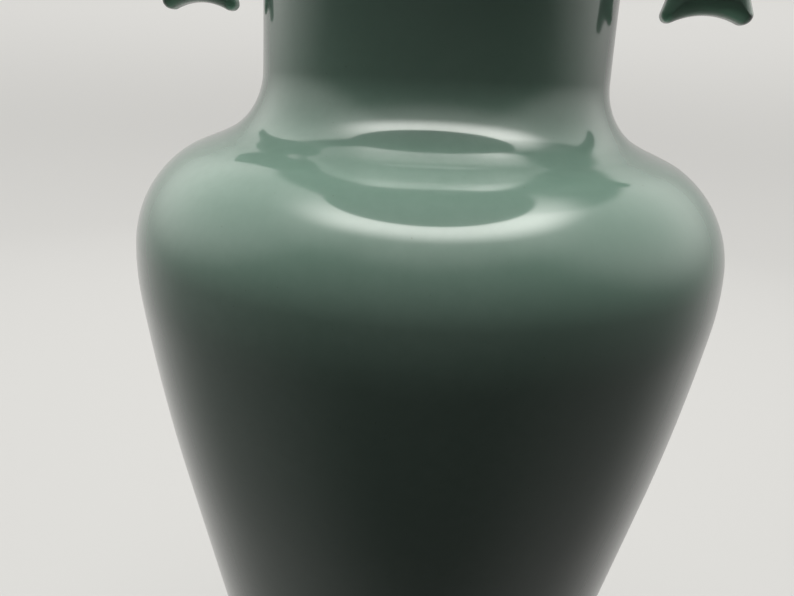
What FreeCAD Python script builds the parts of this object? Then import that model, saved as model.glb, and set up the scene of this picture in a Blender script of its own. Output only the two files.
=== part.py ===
"""Two-handled baluster vase in celadon-glazed porcelain.

The vase is thrown in sections that are luted together with slip: a foot ring, a base disc, three body sections, a
neck and a mouth rim. Each section stands on the one below with a stepped joint, half the wall thick. Two handles
stand off the neck, left and right, and each is luted together from a bent strap, a forked tail, a bridge and two
pads that seat it on the neck.

Frame: Z is the axis of the vase and points up, the foot rests on Z = 0, and the handles lie along X.
"""

import FreeCAD, Part
import os
from math import acos, atan2, cos, degrees, hypot, radians, sin, sqrt

import Sketcher

# Driving dimensions, in millimetres and degrees.
DIMENSIONS = {
    # wall of the vase, from the foot up
    "wall": 6.0,
    "foot_waist_radius": 62.5,
    "foot_waist_height": 30.0,
    "foot_curve": 150.0,
    "flank_curve": 770.0,
    "flank_angle": 4.8,
    "belly_radius": 100.0,
    "belly_height": 287.0,
    "belly_curve": 91.5,
    "crown_angle": 5.9,
    "shoulder_curve": 36.8,
    "fillet_curve": 22.0,
    "neck_radius": 56.0,
    "neck_height": 409.0,
    "neck_curve": 1244.0,
    "mouth_angle": 2.0,
    "mouth_curve": 34.0,
    "lip_angle": 55.0,
    # stepped joints between the sections
    "step": 3.0,
    "foot_seam": 12.0,
    "foot_step_radius": 60.6,
    "lower_seam": 150.0,
    "lower_step_radius": 77.6,
    "belly_seam": 287.0,
    "belly_step_radius": 97.0,
    "neck_seam": 350.0,
    "neck_step_radius": 54.4,
    "mouth_seam": 452.0,
    "mouth_step_radius": 53.7,
    "slab_radius": 150.0,
    # foot ring and base
    "foot_radius": 64.2,
    "foot_bevel": 2.4,
    "foot_inner_radius": 54.0,
    "ledge_bevel": 1.2,
    "base_radius": 57.0,
    "base_height": 7.0,
    "base_thickness": 9.0,
    # handles
    "strap_centre": 81.8,
    "strap_width": 16.0,
    "strap_depth": 12.0,
    "arch_foot": 424.0,
    "arch_curve": 17.0,
    "handle_edge": 2.2,
    "tail_centre": 83.05,
    "tail_tip": 366.8,
    "tail_top": 400.0,
    "lobe_reach": 10.85,
    "lobe_curve": 2.5,
    "notch_depth": 2.5,
    "bridge_height": 411.0,
    "bridge_end": 13.0,
    "bridge_hollow": 2.0,
    "bridge_depth": 9.0,
    "bridge_edge": 2.0,
    "pad_root": 50.0,
    "pad_face": 59.0,
    "pad_depth": 16.0,
    "pad_corner": 5.0,
    "pad_edge": 1.6,
    "upper_pad_height": 21.0,
    "lower_pad_height": 17.0,
}

UP = FreeCAD.Vector(0, 0, 1)
TOUCHING = 1e-6

# How a sketch constraint names its own origin and the points of a curve.
ORIGIN = (-1, 1)
START, END, CENTRE = 1, 2, 3

doc = FreeCAD.newDocument("Vase")


def make_sheet():
    sheet = doc.addObject("Spreadsheet::Sheet", "Dims")
    for row, (alias, value) in enumerate(DIMENSIONS.items(), start=1):
        sheet.set(f"A{row}", alias)
        sheet.set(f"B{row}", str(value))
        sheet.setAlias(f"B{row}", alias)
    doc.recompute()
    return sheet


DIMS = make_sheet()


class Value:
    """Reads a cell of the sheet by its alias, as a plain number."""

    def __getattr__(self, alias):
        return float(DIMS.get(alias))


dim = Value()


# Sketches


def add_sketch(body, role, name, height=None):
    """A sketch on one of the body's own origin planes, lifted along the plane's normal to a cell's value."""
    sketch = body.newObject("Sketcher::SketchObject", name)
    plane = next(f for f in body.Origin.OriginFeatures if f.Role == role)
    sketch.AttachmentSupport = [(plane, "")]
    sketch.MapMode = "FlatFace"
    if height:
        sketch.setExpression("AttachmentOffset.Base.z", height)
    return sketch


def add_line(sketch, start, end):
    return sketch.addGeometry(Part.LineSegment(FreeCAD.Vector(*start, 0), FreeCAD.Vector(*end, 0)))


def add_arc(sketch, centre, radius, start_angle, end_angle):
    """An arc that runs counter-clockwise from start_angle to end_angle, both in degrees."""
    circle = Part.Circle(FreeCAD.Vector(*centre, 0), UP, radius)
    return sketch.addGeometry(Part.ArcOfCircle(circle, radians(start_angle), radians(end_angle)))


def bind(sketch, kind, *where, expression):
    """A dimension of the sketch that follows an expression of the sheet's cells."""
    value = 0.0
    if kind in ("Radius", "DistanceX", "DistanceY"):
        value = measured(sketch, kind, where)
    index = sketch.addConstraint(Sketcher.Constraint(kind, *where, value))
    sketch.setExpression(f"Constraints[{index}]", expression)


def measured(sketch, kind, where):
    """What the dimension measures as drawn, which starts the solver near its answer."""
    if kind == "Radius":
        return sketch.Geometry[where[0]].Radius
    first = sketch.getPoint(where[0], where[1])
    second = sketch.getPoint(where[2], where[3])
    return second.x - first.x if kind == "DistanceX" else second.y - first.y


def bind_point(sketch, curve, position, across, along):
    """Holds a point of a curve at two expressions, measured from the sketch's origin."""
    bind(sketch, "DistanceX", *ORIGIN, curve, position, expression=across)
    bind(sketch, "DistanceY", *ORIGIN, curve, position, expression=along)


def meet(sketch, first, first_end, second, second_end):
    sketch.addConstraint(Sketcher.Constraint("Coincident", first, first_end, second, second_end))


def blend(sketch, first, first_end, second, second_end):
    """The two curves meet there with one tangent."""
    sketch.addConstraint(Sketcher.Constraint("Tangent", first, first_end, second, second_end))


def polar(centre, radius, angle):
    """The point at an angle in degrees on a circle."""
    return (centre[0] + radius * cos(radians(angle)), centre[1] + radius * sin(radians(angle)))


def bearing(start, end):
    """The angle in degrees from one point to another."""
    return degrees(atan2(end[1] - start[1], end[0] - start[0]))


# The wall's outline


def wall_centres():
    """Centres of the tangent arcs that make the wall, and the outward direction of the straight flank."""
    belly = (dim.belly_radius - dim.belly_curve, dim.belly_height)
    shoulder = polar(belly, dim.belly_curve - dim.shoulder_curve, dim.crown_angle)
    flank = polar(belly, dim.belly_curve - dim.flank_curve, -dim.flank_angle)
    foot = (dim.foot_waist_radius + dim.foot_curve, dim.foot_waist_height)
    neck = (dim.neck_radius + dim.neck_curve, dim.neck_height)
    fillet = circle_crossing(
        shoulder, dim.shoulder_curve + dim.fillet_curve, neck, dim.neck_curve - dim.fillet_curve
    )
    mouth = polar(neck, dim.neck_curve - dim.mouth_curve, 180 - dim.mouth_angle)
    spread = hypot(foot[0] - flank[0], foot[1] - flank[1])
    lean = bearing(flank, foot) + degrees(acos((dim.flank_curve + dim.foot_curve) / spread))
    return belly, shoulder, flank, foot, neck, fillet, mouth, lean


def circle_crossing(first, first_radius, second, second_radius):
    """The crossing of two circles that lies left of the line from the first centre to the second."""
    spread = hypot(second[0] - first[0], second[1] - first[1])
    turn = acos((spread**2 + first_radius**2 - second_radius**2) / (2 * spread * first_radius))
    return polar(first, first_radius, bearing(first, second) + degrees(turn))


def draw_wall_side(sketch, offset, inset):
    """One side of the wall as tangent arcs and a straight flank, from the foot seam to the lip.

    offset is how far the side lies inside the outer surface and inset is the same as an expression. Returns the
    first and the last curve.
    """
    belly, shoulder, flank, foot, neck, fillet, mouth, lean = wall_centres()
    crown, low, lip = dim.crown_angle, dim.flank_angle, dim.lip_angle
    to_fillet = bearing(shoulder, fillet)
    to_neck = bearing(neck, fillet) % 360
    foot_end = 180 + degrees((dim.foot_waist_height - dim.foot_seam) / dim.foot_curve)

    foot_arc = add_arc(sketch, foot, dim.foot_curve + offset, 180 + lean, foot_end)
    flank_line = add_line(
        sketch,
        polar(foot, dim.foot_curve + offset, 180 + lean),
        polar(flank, dim.flank_curve - offset, lean),
    )
    flank_arc = add_arc(sketch, flank, dim.flank_curve - offset, lean, -low)
    belly_arc = add_arc(sketch, belly, dim.belly_curve - offset, -low, crown)
    shoulder_arc = add_arc(sketch, shoulder, dim.shoulder_curve - offset, crown, to_fillet)
    fillet_arc = add_arc(sketch, fillet, dim.fillet_curve + offset, to_neck, 180 + to_fillet)
    neck_arc = add_arc(sketch, neck, dim.neck_curve + offset, 180 - dim.mouth_angle, to_neck)
    mouth_arc = add_arc(sketch, mouth, dim.mouth_curve + offset, 180 - lip, 180 - dim.mouth_angle)

    bind_point(sketch, foot_arc, CENTRE, "Dims.foot_waist_radius + Dims.foot_curve", "Dims.foot_waist_height")
    bind_point(sketch, belly_arc, CENTRE, "Dims.belly_radius - Dims.belly_curve", "Dims.belly_height")
    bind_point(sketch, neck_arc, CENTRE, "Dims.neck_radius + Dims.neck_curve", "Dims.neck_height")
    for arc, size in (
        (foot_arc, f"Dims.foot_curve + {inset}"),
        (flank_arc, f"Dims.flank_curve - {inset}"),
        (belly_arc, f"Dims.belly_curve - {inset}"),
        (shoulder_arc, f"Dims.shoulder_curve - {inset}"),
        (fillet_arc, f"Dims.fillet_curve + {inset}"),
        (neck_arc, f"Dims.neck_curve + {inset}"),
        (mouth_arc, f"Dims.mouth_curve + {inset}"),
    ):
        bind(sketch, "Radius", arc, expression=size)

    def hold_end(arc, end, size, angle):
        rise = f"({size}) * sin({angle} * 1deg)"
        bind(sketch, "DistanceY", arc, CENTRE, arc, end, expression=rise)

    hold_end(belly_arc, END, f"Dims.belly_curve - {inset}", "Dims.crown_angle")
    hold_end(belly_arc, START, f"Dims.belly_curve - {inset}", "-Dims.flank_angle")
    hold_end(neck_arc, START, f"Dims.neck_curve + {inset}", "Dims.mouth_angle")
    hold_end(mouth_arc, START, f"Dims.mouth_curve + {inset}", "Dims.lip_angle")
    bind(sketch, "DistanceY", *ORIGIN, foot_arc, END, expression="Dims.foot_seam")

    blend(sketch, foot_arc, START, flank_line, START)
    blend(sketch, flank_line, END, flank_arc, START)
    blend(sketch, flank_arc, END, belly_arc, START)
    blend(sketch, belly_arc, END, shoulder_arc, START)
    blend(sketch, shoulder_arc, END, fillet_arc, END)
    blend(sketch, fillet_arc, START, neck_arc, END)
    blend(sketch, neck_arc, START, mouth_arc, END)
    return foot_arc, mouth_arc


def draw_wall(sketch):
    """The closed outline of the whole wall: outer side, round lip, inner side and the foot seam."""
    outer_foot, outer_mouth = draw_wall_side(sketch, 0.0, "0")
    inner_foot, inner_mouth = draw_wall_side(sketch, dim.wall, "Dims.wall")
    outer_tip = sketch.getPoint(outer_mouth, START)
    inner_tip = sketch.getPoint(inner_mouth, START)
    middle = (outer_tip + inner_tip) * 0.5
    away = bearing((middle.x, middle.y), (outer_tip.x, outer_tip.y))
    lip = add_arc(sketch, (middle.x, middle.y), dim.wall / 2, away, away + 180)
    blend(sketch, outer_mouth, START, lip, START)
    meet(sketch, lip, END, inner_mouth, START)
    outer_base = sketch.getPoint(outer_foot, END)
    inner_base = sketch.getPoint(inner_foot, END)
    seam = add_line(sketch, (inner_base.x, inner_base.y), (outer_base.x, outer_base.y))
    meet(sketch, seam, START, inner_foot, END)
    meet(sketch, seam, END, outer_foot, END)


def draw_polygon(sketch, corners):
    """Closed straight-sided outline. Each corner is (x, y, expression of x, expression of y)."""
    points = [(x, y) for x, y, _, _ in corners]
    lines = [add_line(sketch, a, b) for a, b in zip(points, points[1:] + points[:1])]
    for line, following in zip(lines, lines[1:] + lines[:1]):
        meet(sketch, line, END, following, START)
    for line, (_, _, across, along) in zip(lines, corners):
        bind_point(sketch, line, START, across, along)


def revolve(label, draw):
    """A body turned round Z from the outline that draw puts in its sketch."""
    body = doc.addObject("PartDesign::Body", label)
    sketch = add_sketch(body, "XZ_Plane", f"{label}_outline")
    draw(sketch)
    turned = body.newObject("PartDesign::Revolution", f"{label}_turned")
    turned.Profile = sketch
    turned.ReferenceAxis = (sketch, ["V_Axis"])
    turned.Angle = 360
    doc.recompute()
    return body


# The thrown sections


def add_disc(label, radius, bottom, height):
    disc = doc.addObject("Part::Cylinder", label)
    disc.setExpression("Radius", radius)
    disc.setExpression("Height", height)
    disc.setExpression("Placement.Base.z", bottom)
    return disc


def combine(kind, label, base, tool):
    result = doc.addObject(kind, label)
    result.Base = base
    result.Tool = tool
    return result


def cut_section(label, wall, below, above):
    """The wall between two seams. Its foot is notched over the step below and its top carries the step above."""
    top = f"Dims.{above}_seam" if above else f"Dims.{below}_seam + Dims.slab_radius"
    slab = add_disc(f"{label}_slab", "Dims.slab_radius", f"Dims.{below}_seam", f"{top} - Dims.{below}_seam")
    notch = add_disc(f"{label}_notch", f"Dims.{below}_step_radius", f"Dims.{below}_seam", "Dims.step")
    tool = combine("Part::Cut", f"{label}_notched", slab, notch)
    if above:
        tongue = add_disc(f"{label}_tongue", f"Dims.{above}_step_radius", f"Dims.{above}_seam", "Dims.step")
        tool = combine("Part::Fuse", f"{label}_stepped", tool, tongue)
    return combine("Part::Common", label, wall, tool)


def draw_foot_ring(sketch):
    """The ring that the vase stands on, with a ledge for the base disc and the step that carries the wall."""
    top = "Dims.foot_seam"
    drop = dim.foot_waist_height - dim.foot_seam
    side = dim.foot_waist_radius + dim.foot_curve - sqrt(dim.foot_curve**2 - drop**2)
    drop_there = "(Dims.foot_waist_height - Dims.foot_seam)"
    side_there = f"Dims.foot_waist_radius + Dims.foot_curve - sqrt(Dims.foot_curve^2 - {drop_there}^2)"
    bevel, inner, base = dim.foot_bevel, dim.foot_inner_radius, dim.base_radius
    lip = (base + dim.ledge_bevel, dim.foot_seam + dim.step)
    draw_polygon(
        sketch,
        [
            (inner + bevel, 0, "Dims.foot_inner_radius + Dims.foot_bevel", "0"),
            (dim.foot_radius - bevel, 0, "Dims.foot_radius - Dims.foot_bevel", "0"),
            (dim.foot_radius, bevel, "Dims.foot_radius", "Dims.foot_bevel"),
            (side, dim.foot_seam, side_there, top),
            (dim.foot_step_radius, dim.foot_seam, "Dims.foot_step_radius", top),
            (dim.foot_step_radius, dim.foot_seam + dim.step, "Dims.foot_step_radius", f"{top} + Dims.step"),
            (*lip, "Dims.base_radius + Dims.ledge_bevel", f"{top} + Dims.step"),
            (base, dim.foot_seam, "Dims.base_radius", top),
            (base, dim.base_height, "Dims.base_radius", "Dims.base_height"),
            (inner, dim.base_height, "Dims.foot_inner_radius", "Dims.base_height"),
            (inner, bevel, "Dims.foot_inner_radius", "Dims.foot_bevel"),
        ],
    )


def make_vessel():
    """The foot ring, the base disc and the five sections of the wall."""
    wall = revolve("wall", draw_wall)
    return [
        revolve("foot_ring", draw_foot_ring),
        add_disc("base_disc", "Dims.base_radius", "Dims.base_height", "Dims.base_thickness"),
        cut_section("lower_body", wall, "foot", "lower"),
        cut_section("upper_body", wall, "lower", "belly"),
        cut_section("shoulder", wall, "belly", "neck"),
        cut_section("neck", wall, "neck", "mouth"),
        cut_section("mouth_rim", wall, "mouth", None),
    ]


# Handles


def pad_both_ways(body, sketch, depth):
    """Pads the sketch to half the depth on each side of its plane."""
    pad = body.newObject("PartDesign::Pad", f"{body.Name}_block")
    pad.Profile = sketch
    pad.SideType = "Symmetric"
    pad.setExpression("Length", depth)
    doc.recompute()
    return pad


def round_edges(body, feature, chosen, radius):
    """Rounds the edges of the feature that the chosen test accepts."""
    edges = [f"Edge{n}" for n, edge in enumerate(feature.Shape.Edges, start=1) if chosen(edge)]
    rounding = body.newObject("PartDesign::Fillet", f"{body.Name}_rounding")
    rounding.Base = (feature, edges)
    rounding.setExpression("Radius", radius)
    doc.recompute()
    return rounding


def draw_tail(sketch):
    """The forked tail: two round lobes with a shallow notch between them, narrowing upward to the strap."""
    half = dim.strap_width / 2
    tip = dim.tail_tip + dim.lobe_curve
    notch = (dim.lobe_reach**2 + dim.notch_depth**2) / (2 * dim.notch_depth) - dim.lobe_curve
    notch_centre = (dim.tail_centre, dim.tail_tip + dim.notch_depth - notch)
    lobes = {}
    sides = {}
    for way in (-1, 1):
        lobe = (dim.tail_centre + way * dim.lobe_reach, tip)
        corner = (dim.strap_centre + way * half, dim.tail_top)
        reach, rise = way * (lobe[0] - corner[0]), dim.tail_top - tip
        sweep = (reach**2 + rise**2 - dim.lobe_curve**2) / (2 * (reach + dim.lobe_curve))
        centre = (corner[0] + way * sweep, dim.tail_top)
        to_notch, to_side = bearing(lobe, notch_centre), bearing(lobe, centre)
        if way < 0:
            lobes[way] = add_arc(sketch, lobe, dim.lobe_curve, to_side, to_notch + 360)
            sides[way] = add_arc(sketch, centre, sweep, to_side - 180, 360)
        else:
            lobes[way] = add_arc(sketch, lobe, dim.lobe_curve, to_notch, to_side)
            sides[way] = add_arc(sketch, centre, sweep, 180, to_side + 180)
        bind_point(
            sketch,
            lobes[way],
            CENTRE,
            f"Dims.tail_centre + {way} * Dims.lobe_reach",
            "Dims.tail_tip + Dims.lobe_curve",
        )
        bind(sketch, "Radius", lobes[way], expression="Dims.lobe_curve")
        bind(sketch, "DistanceY", *ORIGIN, sides[way], CENTRE, expression="Dims.tail_top")
    first, last = (bearing(notch_centre, (dim.tail_centre + way * dim.lobe_reach, tip)) for way in (1, -1))
    hollow = add_arc(sketch, notch_centre, notch, first, last)
    top = add_line(
        sketch,
        (dim.strap_centre - half, dim.tail_top),
        (dim.strap_centre + half, dim.tail_top),
    )
    bind_point(sketch, top, START, "Dims.strap_centre - Dims.strap_width / 2", "Dims.tail_top")
    bind_point(sketch, top, END, "Dims.strap_centre + Dims.strap_width / 2", "Dims.tail_top")
    meet(sketch, sides[-1], END, top, START)
    meet(sketch, sides[1], START, top, END)
    blend(sketch, sides[-1], START, lobes[-1], START)
    blend(sketch, sides[1], END, lobes[1], END)
    blend(sketch, lobes[-1], END, hollow, END)
    blend(sketch, lobes[1], START, hollow, START)


def make_tail(label):
    body = doc.addObject("PartDesign::Body", label)
    sketch = add_sketch(body, "XZ_Plane", f"{label}_outline")
    draw_tail(sketch)
    block = pad_both_ways(body, sketch, "Dims.strap_depth")
    half = dim.strap_depth / 2

    def is_rim(edge):
        on_face = all(abs(abs(vertex.Y) - half) < TOUCHING for vertex in edge.Vertexes)
        on_top = all(abs(vertex.Z - dim.tail_top) < TOUCHING for vertex in edge.Vertexes)
        return on_face and not on_top

    round_edges(body, block, is_rim, "Dims.handle_edge")
    return body


def draw_rounded_box(sketch, centre, middle, width, depth, corner):
    """A rectangle with round corners, centred at (centre, middle) and sized by expressions of the cells.

    The sizes are (expression, value) pairs.
    """
    across, along = centre[1], middle[1]
    half_width, half_depth, round_by = width[1] / 2, depth[1] / 2, corner[1]
    arcs = []
    for start, way_x, way_y in ((0, 1, 1), (90, -1, 1), (180, -1, -1), (270, 1, -1)):
        point = (across + way_x * (half_width - round_by), along + way_y * (half_depth - round_by))
        arc = add_arc(sketch, point, round_by, start, start + 90)
        bind_point(
            sketch,
            arc,
            CENTRE,
            f"{centre[0]} + {way_x} * ({width[0]} / 2 - {corner[0]})",
            f"{middle[0]} + {way_y} * ({depth[0]} / 2 - {corner[0]})",
        )
        bind(sketch, "Radius", arc, expression=corner[0])
        arcs.append(arc)
    for arc, following in zip(arcs, arcs[1:] + arcs[:1]):
        start, end = sketch.getPoint(arc, END), sketch.getPoint(following, START)
        line = add_line(sketch, (start.x, start.y), (end.x, end.y))
        blend(sketch, arc, END, line, START)
        blend(sketch, line, END, following, START)


def make_strap(label):
    """The strap that leaves the neck level, bends through a quarter circle and runs down to the tail."""
    body = doc.addObject("PartDesign::Body", label)
    path = add_sketch(body, "XZ_Plane", f"{label}_path")
    bend_centre = (dim.strap_centre - dim.arch_curve, dim.arch_foot)
    crest = (bend_centre[0], dim.arch_foot + dim.arch_curve)
    riser = add_line(path, (dim.strap_centre, dim.tail_top), (dim.strap_centre, dim.arch_foot))
    bend = add_arc(path, bend_centre, dim.arch_curve, 0, 90)
    level = add_line(path, crest, (dim.pad_face, crest[1]))
    bind_point(path, riser, START, "Dims.strap_centre", "Dims.tail_top")
    bind_point(path, bend, CENTRE, "Dims.strap_centre - Dims.arch_curve", "Dims.arch_foot")
    bind(path, "Radius", bend, expression="Dims.arch_curve")
    bind(path, "DistanceX", *ORIGIN, level, END, expression="Dims.pad_face")
    blend(path, riser, END, bend, START)
    blend(path, bend, END, level, START)

    section = add_sketch(body, "XY_Plane", f"{label}_section", height="Dims.tail_top")
    draw_rounded_box(
        section,
        ("Dims.strap_centre", dim.strap_centre),
        ("0", 0.0),
        ("Dims.strap_width", dim.strap_width),
        ("Dims.strap_depth", dim.strap_depth),
        ("Dims.handle_edge", dim.handle_edge),
    )
    pipe = body.newObject("PartDesign::AdditivePipe", f"{label}_swept")
    pipe.Profile = section
    pipe.Spine = path
    doc.recompute()
    return body


def make_bridge(label):
    """The short bridge from the neck to the strap, hollowed a little above and below."""
    body = doc.addObject("PartDesign::Body", label)
    sketch = add_sketch(body, "XZ_Plane", f"{label}_outline")
    inner, outer = dim.pad_face, dim.strap_centre - dim.strap_width / 2
    middle, half = (inner + outer) / 2, dim.bridge_end / 2
    reach, hollow = (outer - inner) / 2, dim.bridge_hollow
    curve = (reach**2 + hollow**2) / (2 * hollow)
    turn = degrees(atan2(reach, curve - hollow))
    centre_rise = half - hollow + curve
    above = add_arc(sketch, (middle, dim.bridge_height + centre_rise), curve, 270 - turn, 270 + turn)
    below = add_arc(sketch, (middle, dim.bridge_height - centre_rise), curve, 90 - turn, 90 + turn)
    near = add_line(sketch, (inner, dim.bridge_height - half), (inner, dim.bridge_height + half))
    far = add_line(sketch, (outer, dim.bridge_height + half), (outer, dim.bridge_height - half))
    face = "Dims.strap_centre - Dims.strap_width / 2"
    reach_text = f"(({face} - Dims.pad_face) / 2)"
    top, bottom = (f"Dims.bridge_height {sign} Dims.bridge_end / 2" for sign in "+-")
    bind_point(sketch, near, END, "Dims.pad_face", top)
    bind_point(sketch, near, START, "Dims.pad_face", bottom)
    bind_point(sketch, far, START, face, top)
    bind_point(sketch, far, END, face, bottom)
    for arc in (above, below):
        size = f"({reach_text}^2 + Dims.bridge_hollow^2) / (2 * Dims.bridge_hollow)"
        bind(sketch, "Radius", arc, expression=size)
    meet(sketch, near, END, above, START)
    meet(sketch, above, END, far, START)
    meet(sketch, far, END, below, START)
    meet(sketch, below, END, near, START)
    block = pad_both_ways(body, sketch, "Dims.bridge_depth")

    def is_long(edge):
        return edge.Curve.TypeId == "Part::GeomCircle"

    round_edges(body, block, is_long, "Dims.bridge_edge")
    return body


def make_pad(label, height, middle, core, turn):
    """A saddle that fits the neck on its inner side and carries a part of the handle on its flat face.

    height and middle are (expression, value) pairs.
    """
    block = doc.addObject("PartDesign::Body", f"{label}_block")
    sketch = add_sketch(block, "YZ_Plane", f"{label}_outline", height="Dims.pad_root")
    draw_rounded_box(
        sketch,
        ("0", 0.0),
        middle,
        ("Dims.pad_depth", dim.pad_depth),
        height,
        ("Dims.pad_corner", dim.pad_corner),
    )
    pad = block.newObject("PartDesign::Pad", f"{label}_plate")
    pad.Profile = sketch
    pad.setExpression("Length", "Dims.pad_face - Dims.pad_root")
    doc.recompute()

    def is_outer(edge):
        return all(abs(vertex.X - dim.pad_face) < TOUCHING for vertex in edge.Vertexes)

    round_edges(block, pad, is_outer, "Dims.pad_edge")
    block.Placement = about_axis(turn)
    return combine("Part::Cut", label, block, core)


def about_axis(turn):
    return FreeCAD.Placement(FreeCAD.Vector(), FreeCAD.Rotation(UP, turn))


def draw_neck_core(sketch):
    """The solid of the neck without its hollow, which shapes the backs of the pads."""
    low, high = dim.bridge_height - dim.lower_pad_height, dim.arch_foot + dim.arch_curve + dim.upper_pad_height
    centre = (dim.neck_radius + dim.neck_curve, dim.neck_height)
    first = 180 - degrees(atan2(high - dim.neck_height, dim.neck_curve))
    last = 180 + degrees(atan2(dim.neck_height - low, dim.neck_curve))
    side = add_arc(sketch, centre, dim.neck_curve, first, last)
    upper, lower = sketch.getPoint(side, START), sketch.getPoint(side, END)
    top = add_line(sketch, (upper.x, upper.y), (0, upper.y))
    axis = add_line(sketch, (0, upper.y), (0, lower.y))
    bottom = add_line(sketch, (0, lower.y), (lower.x, lower.y))
    bind_point(sketch, side, CENTRE, "Dims.neck_radius + Dims.neck_curve", "Dims.neck_height")
    bind(sketch, "Radius", side, expression="Dims.neck_curve")
    crest = "Dims.arch_foot + Dims.arch_curve + Dims.upper_pad_height"
    bind_point(sketch, axis, START, "0", crest)
    bind_point(sketch, axis, END, "0", "Dims.bridge_height - Dims.lower_pad_height")
    sketch.addConstraint(Sketcher.Constraint("Horizontal", top))
    sketch.addConstraint(Sketcher.Constraint("Horizontal", bottom))
    meet(sketch, side, START, top, START)
    meet(sketch, top, END, axis, START)
    meet(sketch, axis, END, bottom, START)
    meet(sketch, bottom, END, side, END)


def make_handle(side, turn, core):
    """One handle, turned about the axis of the vase by an angle in degrees."""
    bodies = [make_strap(f"{side}_strap"), make_tail(f"{side}_tail"), make_bridge(f"{side}_bridge")]
    for body in bodies:
        body.Placement = about_axis(turn)
    upper = make_pad(
        f"{side}_upper_pad",
        ("Dims.upper_pad_height", dim.upper_pad_height),
        ("(Dims.arch_foot + Dims.arch_curve)", dim.arch_foot + dim.arch_curve),
        core,
        turn,
    )
    lower = make_pad(
        f"{side}_lower_pad",
        ("Dims.lower_pad_height", dim.lower_pad_height),
        ("Dims.bridge_height", dim.bridge_height),
        core,
        turn,
    )
    return bodies + [upper, lower]


# Output


def check(objects):
    """Stops if any object failed to build or a finished piece has no sound solid."""
    for thing in doc.Objects:
        assert not {"Invalid", "Error"} & set(thing.State), f"{thing.Label}: {thing.State}"
    for thing in objects:
        shape = thing.Shape
        assert not shape.isNull() and shape.isValid(), f"{thing.Label} is not a sound shape"
        assert len(shape.Solids) == 1, f"{thing.Label} has {len(shape.Solids)} solids"


def main():
    pieces = make_vessel()
    core = revolve("neck_core", draw_neck_core)
    pieces += make_handle("right", 0, core)
    pieces += make_handle("left", 180, core)
    doc.recompute()
    check(pieces)
    os.makedirs("parts", exist_ok=True)
    for piece in pieces:
        piece.Shape.exportStep(f"parts/{piece.Label}.step")


main()
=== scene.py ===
"""Looks of the celadon vase: a glazed skin over every thrown section, two luted handles and a bare foot."""

from math import acos, atan2, cos, degrees, hypot, pi, radians, sin

import bmesh
import bpy
import numpy as np
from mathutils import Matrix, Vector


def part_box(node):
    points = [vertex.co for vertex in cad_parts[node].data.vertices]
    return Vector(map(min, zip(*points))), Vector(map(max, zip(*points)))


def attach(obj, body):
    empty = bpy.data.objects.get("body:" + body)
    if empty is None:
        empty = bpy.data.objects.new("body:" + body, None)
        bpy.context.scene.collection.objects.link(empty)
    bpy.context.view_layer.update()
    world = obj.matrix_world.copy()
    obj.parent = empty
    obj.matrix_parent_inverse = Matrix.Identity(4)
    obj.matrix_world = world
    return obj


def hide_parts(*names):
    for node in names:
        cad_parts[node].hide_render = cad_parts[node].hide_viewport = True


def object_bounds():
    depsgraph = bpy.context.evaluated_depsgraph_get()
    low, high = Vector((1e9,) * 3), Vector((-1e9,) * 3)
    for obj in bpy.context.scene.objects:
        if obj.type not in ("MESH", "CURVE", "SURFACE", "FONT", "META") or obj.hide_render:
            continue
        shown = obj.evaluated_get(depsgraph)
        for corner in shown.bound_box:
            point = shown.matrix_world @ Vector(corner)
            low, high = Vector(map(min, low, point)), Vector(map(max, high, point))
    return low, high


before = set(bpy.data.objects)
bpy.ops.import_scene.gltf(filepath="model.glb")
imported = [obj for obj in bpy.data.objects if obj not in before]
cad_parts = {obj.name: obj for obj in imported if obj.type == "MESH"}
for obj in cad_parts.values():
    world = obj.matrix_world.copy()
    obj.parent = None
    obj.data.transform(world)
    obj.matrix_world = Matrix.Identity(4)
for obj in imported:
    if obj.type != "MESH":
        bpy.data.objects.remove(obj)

import openvdb
from mathutils import Matrix, Vector

CAD_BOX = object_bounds()
LIP_TOP = CAD_BOX[1].z
FOOT_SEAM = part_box("lower_body")[0].z
MM = 0.001
TOUCHING = 1e-7
UP = np.array((0.0, 0.0, 1.0))

# Curves of the wall, in metres and degrees. The heights that the pieces meet at come from the frame.
WALL = 0.006
FOOT_WAIST = (0.0625, 0.030)
FOOT_CURVE = 0.150
FLANK_CURVE = 0.770
FLANK_ANGLE = 4.8
BELLY_CURVE = 0.0915
CROWN_ANGLE = 5.9
SHOULDER_CURVE = 0.0368
FILLET_CURVE = 0.022
NECK_WAIST = (0.056, 0.409)
NECK_CURVE = 1.244
MOUTH_ANGLE = 2.0
MOUTH_CURVE = 0.034
LIP_ANGLE = 55.0
STEP = 0.003
FOOT_ROUND = 0.0024

SECTIONS = ("lower_body", "upper_body", "shoulder", "neck", "mouth_rim")
SEGMENTS = 256
SPACING = 0.0022


# Helpers


def polar(centre, radius, angle):
    """The point at an angle in degrees on a circle."""
    return (centre[0] + radius * cos(radians(angle)), centre[1] + radius * sin(radians(angle)))


def bearing(start, end):
    """The angle in degrees from one point to another."""
    return degrees(atan2(end[1] - start[1], end[0] - start[0]))


def smooth_step(low, high, value):
    """Rises smoothly from 0 at low to 1 at high."""
    share = np.clip((value - low) / (high - low), 0, 1)
    return share * share * (3 - 2 * share)


def arc_points(centre, radius, start, end, spacing=SPACING):
    """Points along an arc, ends included, in the order from the start angle to the end angle."""
    count = max(3, int(abs(radians(end - start)) * radius / spacing) + 2)
    angles = np.radians(np.linspace(start, end, count))
    return np.column_stack([centre[0] + radius * np.cos(angles), centre[1] + radius * np.sin(angles)])


def line_points(start, end, spacing=SPACING):
    """Evenly spaced points along a straight line, ends included."""
    count = max(2, int(hypot(end[0] - start[0], end[1] - start[1]) / spacing) + 2)
    share = np.linspace(0, 1, count)[:, None]
    return np.array(start) * (1 - share) + np.array(end) * share


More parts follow.
